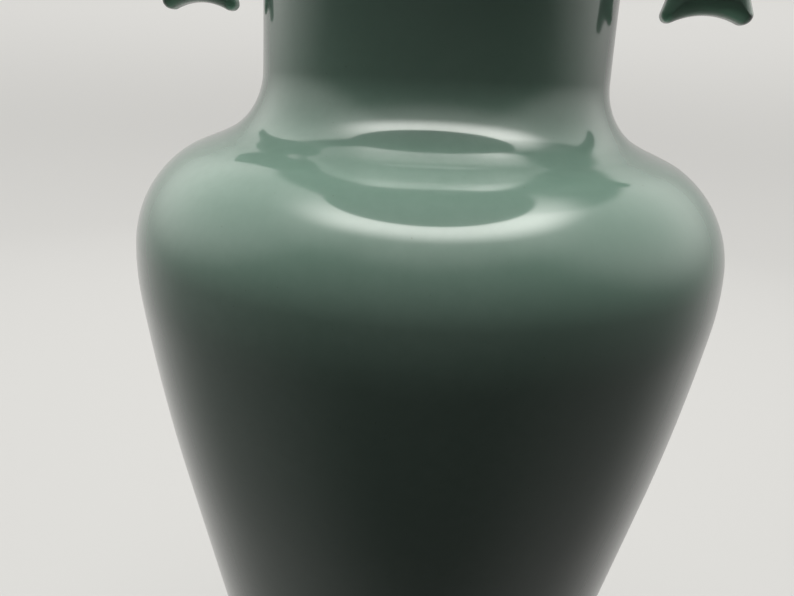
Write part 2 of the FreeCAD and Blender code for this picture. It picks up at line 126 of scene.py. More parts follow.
def chain(*runs):
    """Joins runs of points, each of which starts where the one before ends."""
    return np.vstack([runs[0], *(run[1:] for run in runs[1:])])


def new_object(name, points, faces, normals=None):
    """A smooth-shaded mesh object. Where normals are given, there is one for each point."""
    mesh = bpy.data.meshes.new(name)
    mesh.from_pydata(points.tolist(), [], faces)
    mesh.polygons.foreach_set("use_smooth", [True] * len(mesh.polygons))
    if normals is not None:
        mesh.normals_split_custom_set_from_vertices(normals.tolist())
    mesh.update()
    piece = bpy.data.objects.new(name, mesh)
    bpy.context.scene.collection.objects.link(piece)
    return piece


def add_attribute(piece, name, values):
    """Gives each point of the piece a number that its material reads."""
    attribute = piece.data.attributes.new(name, "FLOAT", "POINT")
    attribute.data.foreach_set("value", np.asarray(values, np.float32))


def finish_piece(piece, material, slot, *nodes):
    """Gives the piece its material and lets it stand for its CAD nodes. The slot is not used."""
    piece.data.materials.append(material)
    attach(piece, "root")
    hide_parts(*nodes)


# The wall's outline


def wall_side(offset):
    """The wall's side that lies offset inside its outer surface, from the foot seam up to the lip."""
    belly = (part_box("shoulder")[1].x - BELLY_CURVE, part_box("shoulder")[0].z)
    shoulder = polar(belly, BELLY_CURVE - SHOULDER_CURVE, CROWN_ANGLE)
    flank = polar(belly, BELLY_CURVE - FLANK_CURVE, -FLANK_ANGLE)
    foot = (FOOT_WAIST[0] + FOOT_CURVE, FOOT_WAIST[1])
    neck = (NECK_WAIST[0] + NECK_CURVE, NECK_WAIST[1])
    fillet = crossing(shoulder, SHOULDER_CURVE + FILLET_CURVE, neck, NECK_CURVE - FILLET_CURVE)
    mouth = polar(neck, NECK_CURVE - MOUTH_CURVE, 180 - MOUTH_ANGLE)
    spread = hypot(foot[0] - flank[0], foot[1] - flank[1])
    lean = bearing(flank, foot) + degrees(acos((FLANK_CURVE + FOOT_CURVE) / spread))
    to_fillet = bearing(shoulder, fillet)
    to_neck = bearing(neck, fillet) % 360
    foot_radius = FOOT_CURVE + offset
    foot_end = 180 + degrees(np.arcsin((foot[1] - FOOT_SEAM) / foot_radius))
    return chain(
        arc_points(foot, foot_radius, foot_end, 180 + lean),
        line_points(polar(foot, foot_radius, 180 + lean), polar(flank, FLANK_CURVE - offset, lean)),
        arc_points(flank, FLANK_CURVE - offset, lean, -FLANK_ANGLE),
        arc_points(belly, BELLY_CURVE - offset, -FLANK_ANGLE, CROWN_ANGLE),
        arc_points(shoulder, SHOULDER_CURVE - offset, CROWN_ANGLE, to_fillet, SPACING / 3),
        arc_points(fillet, FILLET_CURVE + offset, to_fillet + 180, to_neck, SPACING / 3),
        arc_points(neck, NECK_CURVE + offset, to_neck, 180 - MOUTH_ANGLE),
        arc_points(mouth, MOUTH_CURVE + offset, 180 - MOUTH_ANGLE, 180 - LIP_ANGLE, SPACING / 2),
    )


def crossing(first, first_radius, second, second_radius):
    """The crossing of two circles that lies left of the line from the first centre to the second."""
    spread = hypot(second[0] - first[0], second[1] - first[1])
    turn = acos((spread**2 + first_radius**2 - second_radius**2) / (2 * spread * first_radius))
    return polar(first, first_radius, bearing(first, second) + degrees(turn))


def foot_side(wall_foot):
    """The foot's skin: down the recess, round the bare rim and up to the wall's outer foot."""
    foot_low, foot_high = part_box("foot_ring")
    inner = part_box("base_disc")[1].x - WALL / 2
    recess_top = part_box("base_disc")[0].z
    outer = foot_high.x
    rise = np.linspace(FOOT_ROUND, wall_foot[1], 8)
    drop = wall_foot[1] - rise
    slope = (FOOT_WAIST[1] - wall_foot[1]) / FOOT_CURVE
    fall = drop[0]
    bend = (wall_foot[0] + slope * fall - outer) / fall**2
    side = np.column_stack([wall_foot[0] + slope * drop - bend * drop**2, rise])
    return chain(
        line_points((inner, recess_top), (inner, FOOT_ROUND)),
        arc_points((inner + FOOT_ROUND, FOOT_ROUND), FOOT_ROUND, 180, 270, SPACING / 4),
        line_points((inner + FOOT_ROUND, foot_low.z), (outer - FOOT_ROUND, foot_low.z)),
        arc_points((outer - FOOT_ROUND, FOOT_ROUND), FOOT_ROUND, 270, 360, SPACING / 4),
        side,
    )


def whole_skin():
    """The glazed skin as one line of points (radius, height), from the recess over the lip to the inside.

    Each seam between two pieces gets a point of its own on both sides of the wall. Returns the points, and
    the rows where the foot, the outer side and the lip end.
    """
    outer = wall_side(0.0)
    inner = wall_side(WALL)
    middle = (outer[-1] + inner[-1]) / 2
    away = bearing(middle, outer[-1])
    lip = arc_points(middle, WALL / 2, away, away + 180, SPACING / 4)
    foot = foot_side(outer[0])
    heights = [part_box(name)[0].z for name in SECTIONS[1:]]
    outer = with_heights(outer, heights)
    inner = with_heights(inner, [FOOT_SEAM + STEP] + heights + [height + STEP for height in heights])
    skin = chain(foot, outer, lip, inner[::-1])
    return skin, len(foot) - 1, len(foot) + len(outer) - 2, len(foot) + len(outer) + len(lip) - 3


def with_heights(side, heights):
    """The side with a point added at each height."""
    added = [(np.interp(height, side[:, 1], side[:, 0]), height) for height in heights]
    merged = np.vstack([side, added])
    return merged[np.argsort(merged[:, 1], kind="stable")]


# Slight unevenness of the thrown and fired clay

# Waves of the surface: size in millimetres, waves round the vase, radians per metre of height, and phase.
WAVES = ((0.10, 2, 9, 0.6), (0.06, 2, -31, 2.1), (0.045, 4, 41, 4.0), (0.02, 6, -47, 1.2))
WAVES_START = 0.003
WAVES_FULL = 0.030
CROWN_HEIGHT = 0.3279
CROWN_SPREAD = 0.0014
CROWN_SWELL = 0.00030


def crown_swell(height):
    """A faint ring, hollow below and raised above, that steepens the turn from shoulder to fillet."""
    share = (height - CROWN_HEIGHT) / CROWN_SPREAD
    return CROWN_SWELL * share * np.exp(-share * share / 2)


def unevenness(angle, height):
    """How far the surface lies outside its true shape, in metres.

    A few long soft waves pull it inward and fade out at the foot. They repeat after half a turn, so both
    handles meet the neck in the same way. A faint ring near the top of the shoulder is added to them.
    """
    waves = 0.0
    for size, around, rise, phase in WAVES:
        waves = waves + size * (np.sin(around * angle + rise * height + phase) - 1)
    return MM * waves * smooth_step(WAVES_START, WAVES_FULL, height) + crown_swell(height)


def skin_surface():
    """Points and normals of the whole skin on a grid of profile points by angles."""
    skin, foot_end, outer_end, lip_end = whole_skin()
    slopes = np.gradient(skin, axis=0)
    slopes /= np.linalg.norm(slopes, axis=1)[:, None]
    outward = np.column_stack([slopes[:, 1], -slopes[:, 0]])
    angles = np.linspace(0, 2 * pi, SEGMENTS, endpoint=False)
    shift = unevenness(angles[None, :], skin[:, 1][:, None])
    radius = skin[:, :1] + outward[:, :1] * shift
    height = skin[:, 1:] + outward[:, 1:] * shift
    grid = np.stack([radius * np.cos(angles), radius * np.sin(angles), height], axis=-1)
    along = np.gradient(grid, axis=0)
    around = np.roll(grid, -1, axis=1) - np.roll(grid, 1, axis=1)
    normals = np.cross(around, along)
    normals /= np.linalg.norm(normals, axis=2)[:, :, None]
    return skin, grid, normals, (foot_end, outer_end, lip_end)


def ring_faces(rows, closed=True):
    """Quads between the rows of a turned surface, with the last row joined to the first if it is closed."""
    faces = []
    for row in range(rows if closed else rows - 1):
        here = row * SEGMENTS
        following = (row + 1) % rows * SEGMENTS
        for k in range(SEGMENTS):
            after = (k + 1) % SEGMENTS
            faces.append((here + k, here + after, following + after, following + k))
    return faces


def turned_rows(points):
    """Rows of a plain turned surface through points (radius, height)."""
    angles = np.linspace(0, 2 * pi, SEGMENTS, endpoint=False)
    points = np.asarray(points)
    radius, height = points[:, :1], points[:, 1:]
    return np.stack([radius * np.cos(angles), radius * np.sin(angles), height + 0 * angles], axis=-1)


# Thrown sections

THIN_LIP_START = 0.0045
THIN_LIP_FULL = 0.0005


def seam_points(skin, height, ends):
    """The middle of the wall at a seam, as (radius, height) below and above the step."""
    outer = np.interp(height, skin[ends[0] : ends[1], 1], skin[ends[0] : ends[1], 0])
    inner_side = skin[ends[2] :][::-1]
    inner = np.interp(height, inner_side[:, 1], inner_side[:, 0])
    middle = (outer + inner) / 2
    return (middle, height), (middle, height + STEP)


def make_sections(skin, grid, normals, ends, glaze):
    """One closed piece for each section of the wall, cut from the skin at the seams with their steps."""
    foot_end, outer_end, lip_end = ends
    rows = np.arange(len(skin))
    height = skin[:, 1]
    seams = [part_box(name)[0].z for name in SECTIONS]
    for name, low, high in zip(SECTIONS, seams, [*seams[1:], None]):
        outside = (rows >= foot_end) & (rows <= lip_end) & (height > low - TOUCHING)
        inside = (rows > lip_end) & (height > low + STEP - TOUCHING)
        step_up = grid[:0]
        if high:
            outside &= (rows < outer_end) & (height < high + TOUCHING)
            inside &= height < high + STEP + TOUCHING
            step_up = turned_rows(seam_points(skin, high, ends))
        step_down = turned_rows(seam_points(skin, low, ends)[::-1])
        points = np.concatenate([grid[outside], step_up, grid[inside], step_down])
        level_up = np.broadcast_to(UP, step_up.shape)
        level_down = np.broadcast_to(-UP, step_down.shape)
        facings = np.concatenate([normals[outside], level_up, normals[inside], level_down])
        faces = ring_faces(len(points))
        piece = new_object(f"{name}_glazed", points.reshape(-1, 3), faces, facings.reshape(-1, 3))
        thin = smooth_step(LIP_TOP - THIN_LIP_START, LIP_TOP - THIN_LIP_FULL, points[:, :, 2].reshape(-1))
        add_attribute(piece, "thin_glaze", thin)
        finish_piece(piece, glaze, "glaze", name)


def make_foot(skin, grid, normals, ends, material):
    """The foot ring with its bare rim, and the ledge and step that carry the base and the wall."""
    outside = slice(ends[0] + 1)
    base_low, base_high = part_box("base_disc")
    middle, raised = seam_points(skin, FOOT_SEAM, ends)
    hidden = turned_rows([middle, raised, (base_high.x, raised[1]), (base_high.x, base_low.z)])
    points = np.concatenate([grid[outside], hidden])
    facings = np.concatenate([normals[outside], np.broadcast_to(UP, hidden.shape)])
    faces = ring_faces(len(points))
    piece = new_object("foot_ring_bare", points.reshape(-1, 3), faces, facings.reshape(-1, 3))
    finish_piece(piece, material, "biscuit", "foot_ring")


BASE_COVE = 0.006
BASE_COVE_RISE = 0.0048
BASE_COVE_TURNS = np.linspace(0.15, 1.35, 7)
RECESS_COVE = 0.0022
RECESS_COVE_DROP = 0.00198
RECESS_COVE_TURNS = np.linspace(1.4, 0.1, 6)
FLAT_STEPS = 12
MIDDLE_SHARE = 0.02
RECESS_FLAT_SHARE = 0.98


def cove_points(start, height, reach, rise, turns):
    """Points round a hollow that starts level and rises outward, with its turns in radians."""
    return [(start + reach * sin(turn), height + rise * (1 - cos(turn))) for turn in turns]


def make_base(glaze):
    """The glazed disc that closes the bottom, coved into the wall above and into the foot ring below."""
    low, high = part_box("base_disc")
    radius = high.x
    recess = radius - WALL / 2
    flat = radius - BASE_COVE
    top = [(reach, high.z) for reach in np.linspace(MIDDLE_SHARE * radius, flat, FLAT_STEPS)]
    top += cove_points(flat, high.z, BASE_COVE, BASE_COVE_RISE, BASE_COVE_TURNS)
    edge = [(radius, top[-1][1]), (radius, low.z), (recess, low.z - RECESS_COVE_DROP)]
    flat = recess - RECESS_COVE
    under = cove_points(flat, low.z, RECESS_COVE, -RECESS_COVE_DROP, RECESS_COVE_TURNS)
    reaches = np.linspace(RECESS_FLAT_SHARE * flat, MIDDLE_SHARE * flat, FLAT_STEPS)
    under += [(reach, low.z) for reach in reaches]
    rows = turned_rows(top + edge + under)
    points = rows.reshape(-1, 3)
    last = (len(rows) - 1) * SEGMENTS
    faces = ring_faces(len(rows), closed=False)
    faces.append(tuple(range(SEGMENTS - 1, -1, -1)))
    faces.append(tuple(range(last, last + SEGMENTS)))
    piece = new_object("base_disc_glazed", points, faces)
    add_attribute(piece, "thin_glaze", np.zeros(len(points)))
    finish_piece(piece, glaze, "glaze", "base_disc")


# Handles

LOBE_CURVE = 0.0025
ARCH_CURVE = 0.025
HANDLE_EDGE = 0.0052
BRIDGE_EDGE = 0.00442
BRIDGE_HOLLOW = 0.002
PAD_CORNER = 0.005
PAD_EDGE = 0.0016
SLIP_BLEND = 0.0032
NECK_BLEND = 0.00256
SKIRT = 0.0045
SKIRT_DEPTH = 0.0014
SKIRT_CLEARANCE = 0.00005
HANDLE_PARTS = ("strap", "tail", "bridge", "upper_pad", "lower_pad")

# The handle's surface is found on a grid of this fineness, which reaches this far past it.
GRAIN = 0.00055
MARGIN = 4 * GRAIN

# Where the glaze runs thin on the handle's rim: distance inside its outline, and share of its half depth.
THIN_RIM = (-0.0026, -0.0004)
THIN_SIDE = (0.55, 0.9)
THIN_HANDLE = 0.25


def polygon_distance(across, height, corners):
    """Signed distance from points to a closed outline, negative inside."""
    nearest = np.full(across.shape, 1e9)
    inside = np.zeros(across.shape, bool)
    for start, end in zip(corners, np.roll(corners, -1, axis=0)):
        run = end - start
        share = ((across - start[0]) * run[0] + (height - start[1]) * run[1]) / (run @ run)
        share = np.clip(share, 0, 1)
        gap = np.hypot(across - start[0] - share * run[0], height - start[1] - share * run[1])
        nearest = np.minimum(nearest, gap)
        crosses = (start[1] > height) != (end[1] > height)
        if run[1]:
            inside ^= crosses & (across < start[0] + (height - start[1]) / run[1] * run[0])
    return np.where(inside, -nearest, nearest)


def strap_outline():
    """The bent strap and its forked tail in the plane of the handle, as one outline."""
    strap_low, strap_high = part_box("right_strap")
    tail_low, tail_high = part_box("right_tail")
    inner_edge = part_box("right_bridge")[1].x
    outer_edge = strap_high.x
    top = tail_high.z
    crest = strap_high.z
    width = outer_edge - inner_edge
    bend = (outer_edge - ARCH_CURVE, crest - ARCH_CURVE)
    root = strap_low.x - WALL / 2
    lobe_height = tail_low.z + LOBE_CURVE
    lobes = ((tail_high.x - LOBE_CURVE, lobe_height), (tail_low.x + LOBE_CURVE, lobe_height))

    def side(lobe, edge, way):
        reach, rise = way * (lobe[0] - edge), top - lobe_height
        radius = (reach**2 + rise**2 - LOBE_CURVE**2) / (2 * (reach + LOBE_CURVE))
        return (edge + way * radius, top), radius

    outer_centre, outer_radius = side(lobes[0], outer_edge, 1)
    inner_centre, inner_radius = side(lobes[1], inner_edge, -1)
    half = (lobes[0][0] - lobes[1][0]) / 2
    notch = half**2 / (2 * LOBE_CURVE) + LOBE_CURVE / 2 - LOBE_CURVE
    notch_centre = ((lobes[0][0] + lobes[1][0]) / 2, lobe_height - notch)
    fine = SPACING / 4
    outer_touch = bearing(lobes[0], outer_centre)
    inner_touch = bearing(lobes[1], inner_centre)
    return chain(
        line_points((root, crest), (bend[0], crest)),
        arc_points(bend, ARCH_CURVE, 90, 0, fine),
        line_points((outer_edge, bend[1]), (outer_edge, top)),
        arc_points(outer_centre, outer_radius, 180, outer_touch + 180, fine),
        arc_points(lobes[0], LOBE_CURVE, outer_touch, bearing(lobes[0], notch_centre), fine / 2),
        arc_points(notch_centre, notch, *(bearing(notch_centre, lobe) for lobe in lobes), fine),
        arc_points(lobes[1], LOBE_CURVE, bearing(lobes[1], notch_centre), inner_touch - 360, fine / 2),
        arc_points(inner_centre, inner_radius, inner_touch - 180, 0, fine),
        line_points((inner_edge, top), (inner_edge, bend[1])),
        arc_points(bend, ARCH_CURVE - width, 0, 90, fine),
        line_points((bend[0], crest - width), (root, crest - width)),
    )


def bridge_outline():
    """The short bridge between the neck and the strap, hollowed a little above and below."""
    low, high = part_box("right_bridge")
    reach = (high.x - low.x) / 2
    middle = (high.x + low.x) / 2
    radius = (reach**2 + BRIDGE_HOLLOW**2) / (2 * BRIDGE_HOLLOW)
    turn = degrees(atan2(reach, radius - BRIDGE_HOLLOW))
    rise = radius - BRIDGE_HOLLOW
    near, far = low.x - WALL / 2, high.x + WALL / 2
    return np.vstack(
        [
            [(near, high.z)],
            arc_points((middle, high.z + rise), radius, 270 - turn, 270 + turn, SPACING / 4),
            [(far, high.z), (far, low.z)],
            arc_points((middle, low.z - rise), radius, 90 - turn, 90 + turn, SPACING / 4),
            [(near, low.z)],
        ]
    )


STRAP_OUTLINE = strap_outline()
BRIDGE_OUTLINE = bridge_outline()
NECK_SIDE = wall_side(0.0)


def rounded_slab(flat, depth, thickness, edge):
    """Distance to a slab with round edges, from the distance in its plane and across it."""
    inward = flat + edge
    across = np.abs(depth) - (thickness - edge)
    outside = np.hypot(np.maximum(inward, 0), np.maximum(across, 0))
    return outside + np.minimum(np.maximum(inward, across), 0) - edge


def soft_union(first, second, blend):
    """The union of two shapes with a fillet about blend wide."""
    share = np.maximum(blend - np.abs(first - second), 0) / blend
    return np.minimum(first, second) - share * share * blend / 4


def pad_distance(node, x, y, z):
    """Distance to a pad: a plate with round corners that is flat towards the handle."""
    low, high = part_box(node)
    side = np.abs(y) - ((high.y - low.y) / 2 - PAD_CORNER)
    rise = np.abs(z - (high.z + low.z) / 2) - ((high.z - low.z) / 2 - PAD_CORNER)
    beyond = np.hypot(np.maximum(side, 0), np.maximum(rise, 0))
    flat = beyond + np.minimum(np.maximum(side, rise), 0) - PAD_CORNER
    root = low.x - WALL / 2
    return rounded_slab(flat, x - (root + high.x) / 2, (high.x - root) / 2, PAD_EDGE)


def handle_distance(x, y, z, strap_flat, bridge_flat):
    """Distance to the right handle, with its slip fillets and a thin skirt under the neck's glaze."""
    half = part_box("right_strap")[1].y
    bridge_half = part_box("right_bridge")[1].y
    strap = rounded_slab(strap_flat, y, half, HANDLE_EDGE)
    bridge = rounded_slab(bridge_flat, y, bridge_half, BRIDGE_EDGE)
    pads = np.minimum(pad_distance("right_upper_pad", x, y, z), pad_distance("right_lower_pad", x, y, z))
    body = soft_union(soft_union(strap, bridge, SLIP_BLEND), pads, SLIP_BLEND)
    depth = neck_depth(x, y, z)
    skin = soft_union(body, depth + SKIRT_CLEARANCE, NECK_BLEND)
    skin = np.maximum(skin, -(depth + SKIRT_DEPTH))
    return np.maximum(skin, np.minimum(pads, np.minimum(strap, bridge)) - SKIRT)


def neck_depth(x, y, z):
    """Signed distance from the neck's own uneven surface, positive outside it."""
    radius = np.interp(z, NECK_SIDE[:, 1], NECK_SIDE[:, 0])
    return np.hypot(x, y) - radius - unevenness(np.arctan2(y, x), z)


def distance_at(points):
    """Distance to the right handle from each of the points."""
    x, y, z = points.T
    strap_flat = polygon_distance(x, z, STRAP_OUTLINE)
    bridge_flat = polygon_distance(x, z, BRIDGE_OUTLINE)
    return handle_distance(x, y, z, strap_flat, bridge_flat)


def slope_at(points):
    """The outward direction of the handle's surface at points."""
    reach = GRAIN / 4
    slopes = np.empty_like(points)
    for axis in range(3):
        move = np.zeros(3)
        move[axis] = reach
        slopes[:, axis] = distance_at(points + move) - distance_at(points - move)
    return slopes / np.linalg.norm(slopes, axis=1)[:, None]


def handle_surface():
    """Points, quads and normals of the right handle."""
    low = Vector(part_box("right_lower_pad")[0]) - Vector((SKIRT, SKIRT, SKIRT))
    low.x -= SKIRT_DEPTH
    low.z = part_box("right_tail")[0].z - MARGIN
    high = Vector(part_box("right_strap")[1])
    high.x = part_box("right_tail")[1].x
    high += Vector((MARGIN, 0, SKIRT))
    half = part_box("right_upper_pad")[1].y + SKIRT + MARGIN / 2
    x = np.arange(low.x, high.x, GRAIN)
    y = np.arange(-half, half, GRAIN)
    z = np.arange(low.z, high.z + MARGIN, GRAIN)
    flat_x, flat_z = np.meshgrid(x, z, indexing="ij")
    strap_flat = polygon_distance(flat_x, flat_z, STRAP_OUTLINE)[:, None, :]
    bridge_flat = polygon_distance(flat_x, flat_z, BRIDGE_OUTLINE)[:, None, :]
    field = handle_distance(x[:, None, None], y[None, :, None], z[None, None, :], strap_flat, bridge_flat)
    grid = openvdb.FloatGrid(background=MARGIN)
    grid.copyFromArray(np.ascontiguousarray(np.clip(field, -MARGIN, MARGIN), np.float32))
    points, quads = grid.convertToQuads(isovalue=0.0)
    points = np.asarray(points, float) * GRAIN + np.array([x[0], y[0], z[0]])
    points -= slope_at(points) * distance_at(points)[:, None]
    return points, [tuple(int(corner) for corner in quad) for quad in quads], slope_at(points)


def make_handles(glaze):
    """Two luted handles, each a single glazed skin over its five pieces."""
    points, quads, normals = handle_surface()
    strap_flat = polygon_distance(points[:, 0], points[:, 2], STRAP_OUTLINE)
    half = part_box("right_strap")[1].y
    rim = smooth_step(*THIN_RIM, strap_flat) * smooth_step(*THIN_SIDE, np.abs(points[:, 1]) / half)
    for side, turn in (("right", 0.0), ("left", pi)):
        spin = np.array(Matrix.Rotation(turn, 3, "Z"))
        piece = new_object(f"{side}_handle_glazed", points @ spin.T, quads, normals @ spin.T)
        add_attribute(piece, "thin_glaze", THIN_HANDLE * rim)
        finish_piece(piece, glaze, "glaze", *(f"{side}_{part}" for part in HANDLE_PARTS))


# Materials


def add_node(tree, kind, **sockets):
    """A shader node with its plain input values set by name."""
    node = tree.nodes.new(kind)
    for name, value in sockets.items():
        node.inputs[name.replace("_", " ")].default_value = value
    return node


def noise(tree, place, scale, detail=2.0, roughness=0.5):
    """Soft noise in the object's own space, from 0 to 1."""
    node = add_node(tree, "ShaderNodeTexNoise", Scale=scale, Detail=detail, Roughness=roughness)
    tree.links.new(place, node.inputs["Vector"])
    return node.outputs[0]


def height_of(tree, place):
    """The height above the table at a place."""
    node = tree.nodes.new("ShaderNodeSeparateXYZ")
    tree.links.new(place, node.inputs["Vector"])
    return node.outputs["Z"]


def remap(tree, value, low, high, out_low=0.0, out_high=1.0):
    """The value's range from low to high mapped to the new range, with a smooth ramp."""
    node = tree.nodes.new("ShaderNodeMapRange")
    node.interpolation_type = "SMOOTHSTEP"
    tree.links.new(value, node.inputs["Value"])
    for name, number in (("From Min", low), ("From Max", high), ("To Min", out_low), ("To Max", out_high)):
        node.inputs[name].default_value = number
    return node.outputs["Result"]


def mix(tree, factor, first, second):
    """A colour between two colours or sockets."""
    node = tree.nodes.new("ShaderNodeMix")
    node.data_type = "RGBA"
    tree.links.new(factor, node.inputs["Factor"])
    colours = [socket for socket in node.inputs if socket.type == "RGBA"]
    for socket, value in zip(colours, (first, second)):
        if isinstance(value, tuple):
            socket.default_value = (*value, 1.0)
        else:
            tree.links.new(value, socket)
    return next(socket for socket in node.outputs if socket.type == "RGBA")


def calculate(tree, operation, first, second):
    """A sum or other arithmetic on two numbers or sockets."""
    node = tree.nodes.new("ShaderNodeMath")
    node.operation = operation
    for socket, value in zip(node.inputs, (first, second)):
        if isinstance(value, (int, float)):
            socket.default_value = value
        else:
            tree.links.new(value, socket)
    return node.outputs[0]


def bump(tree, shader, height, strength, distance):
    """Lets a height raise and sink the shader's surface."""
    node = add_node(tree, "ShaderNodeBump", Strength=strength, Distance=distance)
    tree.links.new(height, node.inputs["Height"])
    tree.links.new(node.outputs["Normal"], shader.inputs["Normal"])


def new_material(name):
    """A node material, with its tree and its main shader."""
    material = bpy.data.materials.new(name)
    material.use_nodes = True
    tree = material.node_tree
    return material, tree, tree.nodes["Principled BSDF"]


CELADON = (0.220, 0.338, 0.268)
CELADON_DEEP = (0.178, 0.290, 0.226)
CELADON_THIN = (0.42, 0.52, 0.44)
IRON_SPECK = (0.05, 0.055, 0.04)


def celadon_glaze():
    """Glossy grey-green glaze: cloudy, pale where it is thin, with iron specks and a soft ripple."""
    material, tree, shader = new_material("celadon_glaze")
    place = tree.nodes.new("ShaderNodeTexCoord").outputs["Object"]
    cloud = remap(tree, noise(tree, place, scale=9.0, detail=3.0), 0.35, 0.65)
    mottle = noise(tree, place, scale=240.0, detail=3.0, roughness=0.6)
    mottle = remap(tree, mottle, 0.25, 0.75, out_high=0.35)
    specks = remap(tree, noise(tree, place, scale=1500.0, detail=1.0), 0.78, 0.84, out_high=0.5)
    thin = tree.nodes.new("ShaderNodeAttribute")
    thin.attribute_name = "thin_glaze"
    colour = mix(tree, cloud, CELADON, CELADON_DEEP)
    colour = mix(tree, mottle, colour, CELADON_DEEP)
    colour = mix(tree, thin.outputs["Fac"], colour, CELADON_THIN)
    colour = mix(tree, specks, colour, IRON_SPECK)
    tree.links.new(colour, shader.inputs["Base Color"])
    bump(tree, shader, noise(tree, place, scale=260.0), strength=0.3, distance=0.00006)
    shader.inputs["Roughness"].default_value = 0.18
    shader.inputs["Specular IOR Level"].default_value = 0.25
    shader.inputs["IOR"].default_value = 1.5
    shader.inputs["Coat Weight"].default_value = 1.0
    shader.inputs["Coat Roughness"].default_value = 0.025
    shader.inputs["Coat IOR"].default_value = 1.5
    return material


BISCUIT = (0.62, 0.53, 0.42)
BISCUIT_GREY = (0.50, 0.45, 0.38)
BURNT_EDGE = (0.36, 0.19, 0.09)

# Heights on the foot: where the burnt line and the glaze begin, where the glaze is whole, and their wander.
BURNT_START = 0.0022
GLAZE_START = 0.0041
GLAZE_WHOLE = 0.0044
GLAZE_WANDER = 0.0016


def bare_foot():
    """Matte biscuit on the rim that stands on the table, with a burnt line where the glaze begins."""
    material, tree, shader = new_material("bare_foot")
    place = tree.nodes.new("ShaderNodeTexCoord").outputs["Object"]
    wander = calculate(tree, "MULTIPLY", noise(tree, place, scale=45.0, detail=3.0), GLAZE_WANDER)
    height = calculate(tree, "ADD", wander, height_of(tree, place))
    burnt = remap(tree, height, BURNT_START, GLAZE_START)
    glazed = remap(tree, height, GLAZE_START, GLAZE_WHOLE)
    grit = remap(tree, noise(tree, place, scale=900.0, detail=3.0, roughness=0.7), 0.3, 0.7)
    colour = mix(tree, grit, BISCUIT, BISCUIT_GREY)
    colour = mix(tree, burnt, colour, BURNT_EDGE)
    colour = mix(tree, glazed, colour, CELADON)
    tree.links.new(colour, shader.inputs["Base Color"])
    roughness = remap(tree, height, GLAZE_START, GLAZE_WHOLE, 0.85, 0.08)
    tree.links.new(roughness, shader.inputs["Roughness"])
    grain = noise(tree, place, scale=1400.0, detail=3.0, roughness=0.7)
    bump(tree, shader, calculate(tree, "MULTIPLY", grain, roughness), strength=0.5, distance=0.00015)
    return material


# Studio

# The camera: metres from the axis and above the table, degrees round the vase, and its own turns in degrees.
CAMERA_DISTANCE = 0.2178
CAMERA_HEIGHT = 0.3478
CAMERA_SIDE = 6.03
CAMERA_TURN = -2.507
CAMERA_PITCH = 20.343
CAMERA_ROLL = 2.469
SENSOR_WIDTH = 36.0
FOCAL_LENGTH = 27.068


def make_camera():
    """A phone's wide lens held close to the neck, in front of the vase and a little to its right."""
    heading = radians(CAMERA_TURN - CAMERA_SIDE)
    pitch = radians(CAMERA_PITCH)
    place = Vector(
        (
            CAMERA_DISTANCE * sin(radians(CAMERA_SIDE)),
            -CAMERA_DISTANCE * cos(radians(CAMERA_SIDE)),
            CAMERA_HEIGHT,
        )
    )
    forward = Vector((sin(heading) * cos(pitch), cos(heading) * cos(pitch), -sin(pitch)))
    level = Vector((cos(heading), -sin(heading), 0))
    up = level.cross(forward)
    roll = radians(CAMERA_ROLL)
    right = level * cos(roll) + up * sin(roll)
    above = -level * sin(roll) + up * cos(roll)
    data = bpy.data.cameras.new("camera")
    data.sensor_width = SENSOR_WIDTH
    data.lens = FOCAL_LENGTH
    data.clip_start = 0.01
    camera = bpy.data.objects.new("camera", data)
    camera.matrix_world = Matrix.Translation(place) @ Matrix((right, above, -forward)).transposed().to_4x4()
    bpy.context.scene.collection.objects.link(camera)
    bpy.context.scene.camera = camera


def facing(azimuth, elevation):
    """The direction at an azimuth, in degrees right of the camera's line to the axis, and an elevation."""
    turn = radians(azimuth - CAMERA_SIDE)
    rise = radians(elevation)
    return Vector((sin(turn) * cos(rise), cos(turn) * cos(rise), sin(rise)))


FLOOR_RADIUS = 1.3
SWEEP_CURVE = 0.8
SWEEP_HEIGHT = 2.6
SWEEP_STEPS = 128
FLOOR_SPACING = 0.1
CURVE_SPACING = 0.04
WALL_SPACING = 0.2
PAPER = (0.80, 0.79, 0.76)
PAPER_LIT_SHARE = 0.26
PAPER_GLOW = 0.42
WALL_GLOW = 0.66
WALL_GLOW_START = 0.12
WALL_GLOW_END = 0.62


def make_sweep():
    """A pale floor that curves up into a wall all round, seen from inside only, and only by the camera."""
    wall = FLOOR_RADIUS + SWEEP_CURVE
    side = chain(
        line_points((0.0, 0.0), (FLOOR_RADIUS, 0.0), FLOOR_SPACING),
        arc_points((FLOOR_RADIUS, SWEEP_CURVE), SWEEP_CURVE, -90, 0, CURVE_SPACING),
        line_points((wall, SWEEP_CURVE), (wall, SWEEP_HEIGHT), WALL_SPACING),
    )
    mesh = bpy.data.meshes.new("sweep")
    shape = bmesh.new()
    rim = [shape.verts.new((radius, 0, height)) for radius, height in side]
    edges = [shape.edges.new(pair) for pair in zip(rim, rim[1:])]
    bmesh.ops.spin(shape, geom=rim + edges, axis=(0, 0, 1), cent=(0, 0, 0), angle=2 * pi, steps=SWEEP_STEPS)
    bmesh.ops.remove_doubles(shape, verts=shape.verts, dist=1e-5)
    bmesh.ops.recalc_face_normals(shape, faces=shape.faces)
    lowest = min(shape.faces, key=lambda face: face.calc_center_median().z)
    if lowest.normal.z < 0:
        bmesh.ops.reverse_faces(shape, faces=shape.faces)
    for face in shape.faces:
        face.smooth = True
    shape.to_mesh(mesh)
    shape.free()
    sweep = bpy.data.objects.new("sweep", mesh)
    bpy.context.scene.collection.objects.link(sweep)
    mesh.materials.append(sweep_paper())
    sweep.visible_diffuse = False
    sweep.visible_glossy = False
    sweep.visible_shadow = False


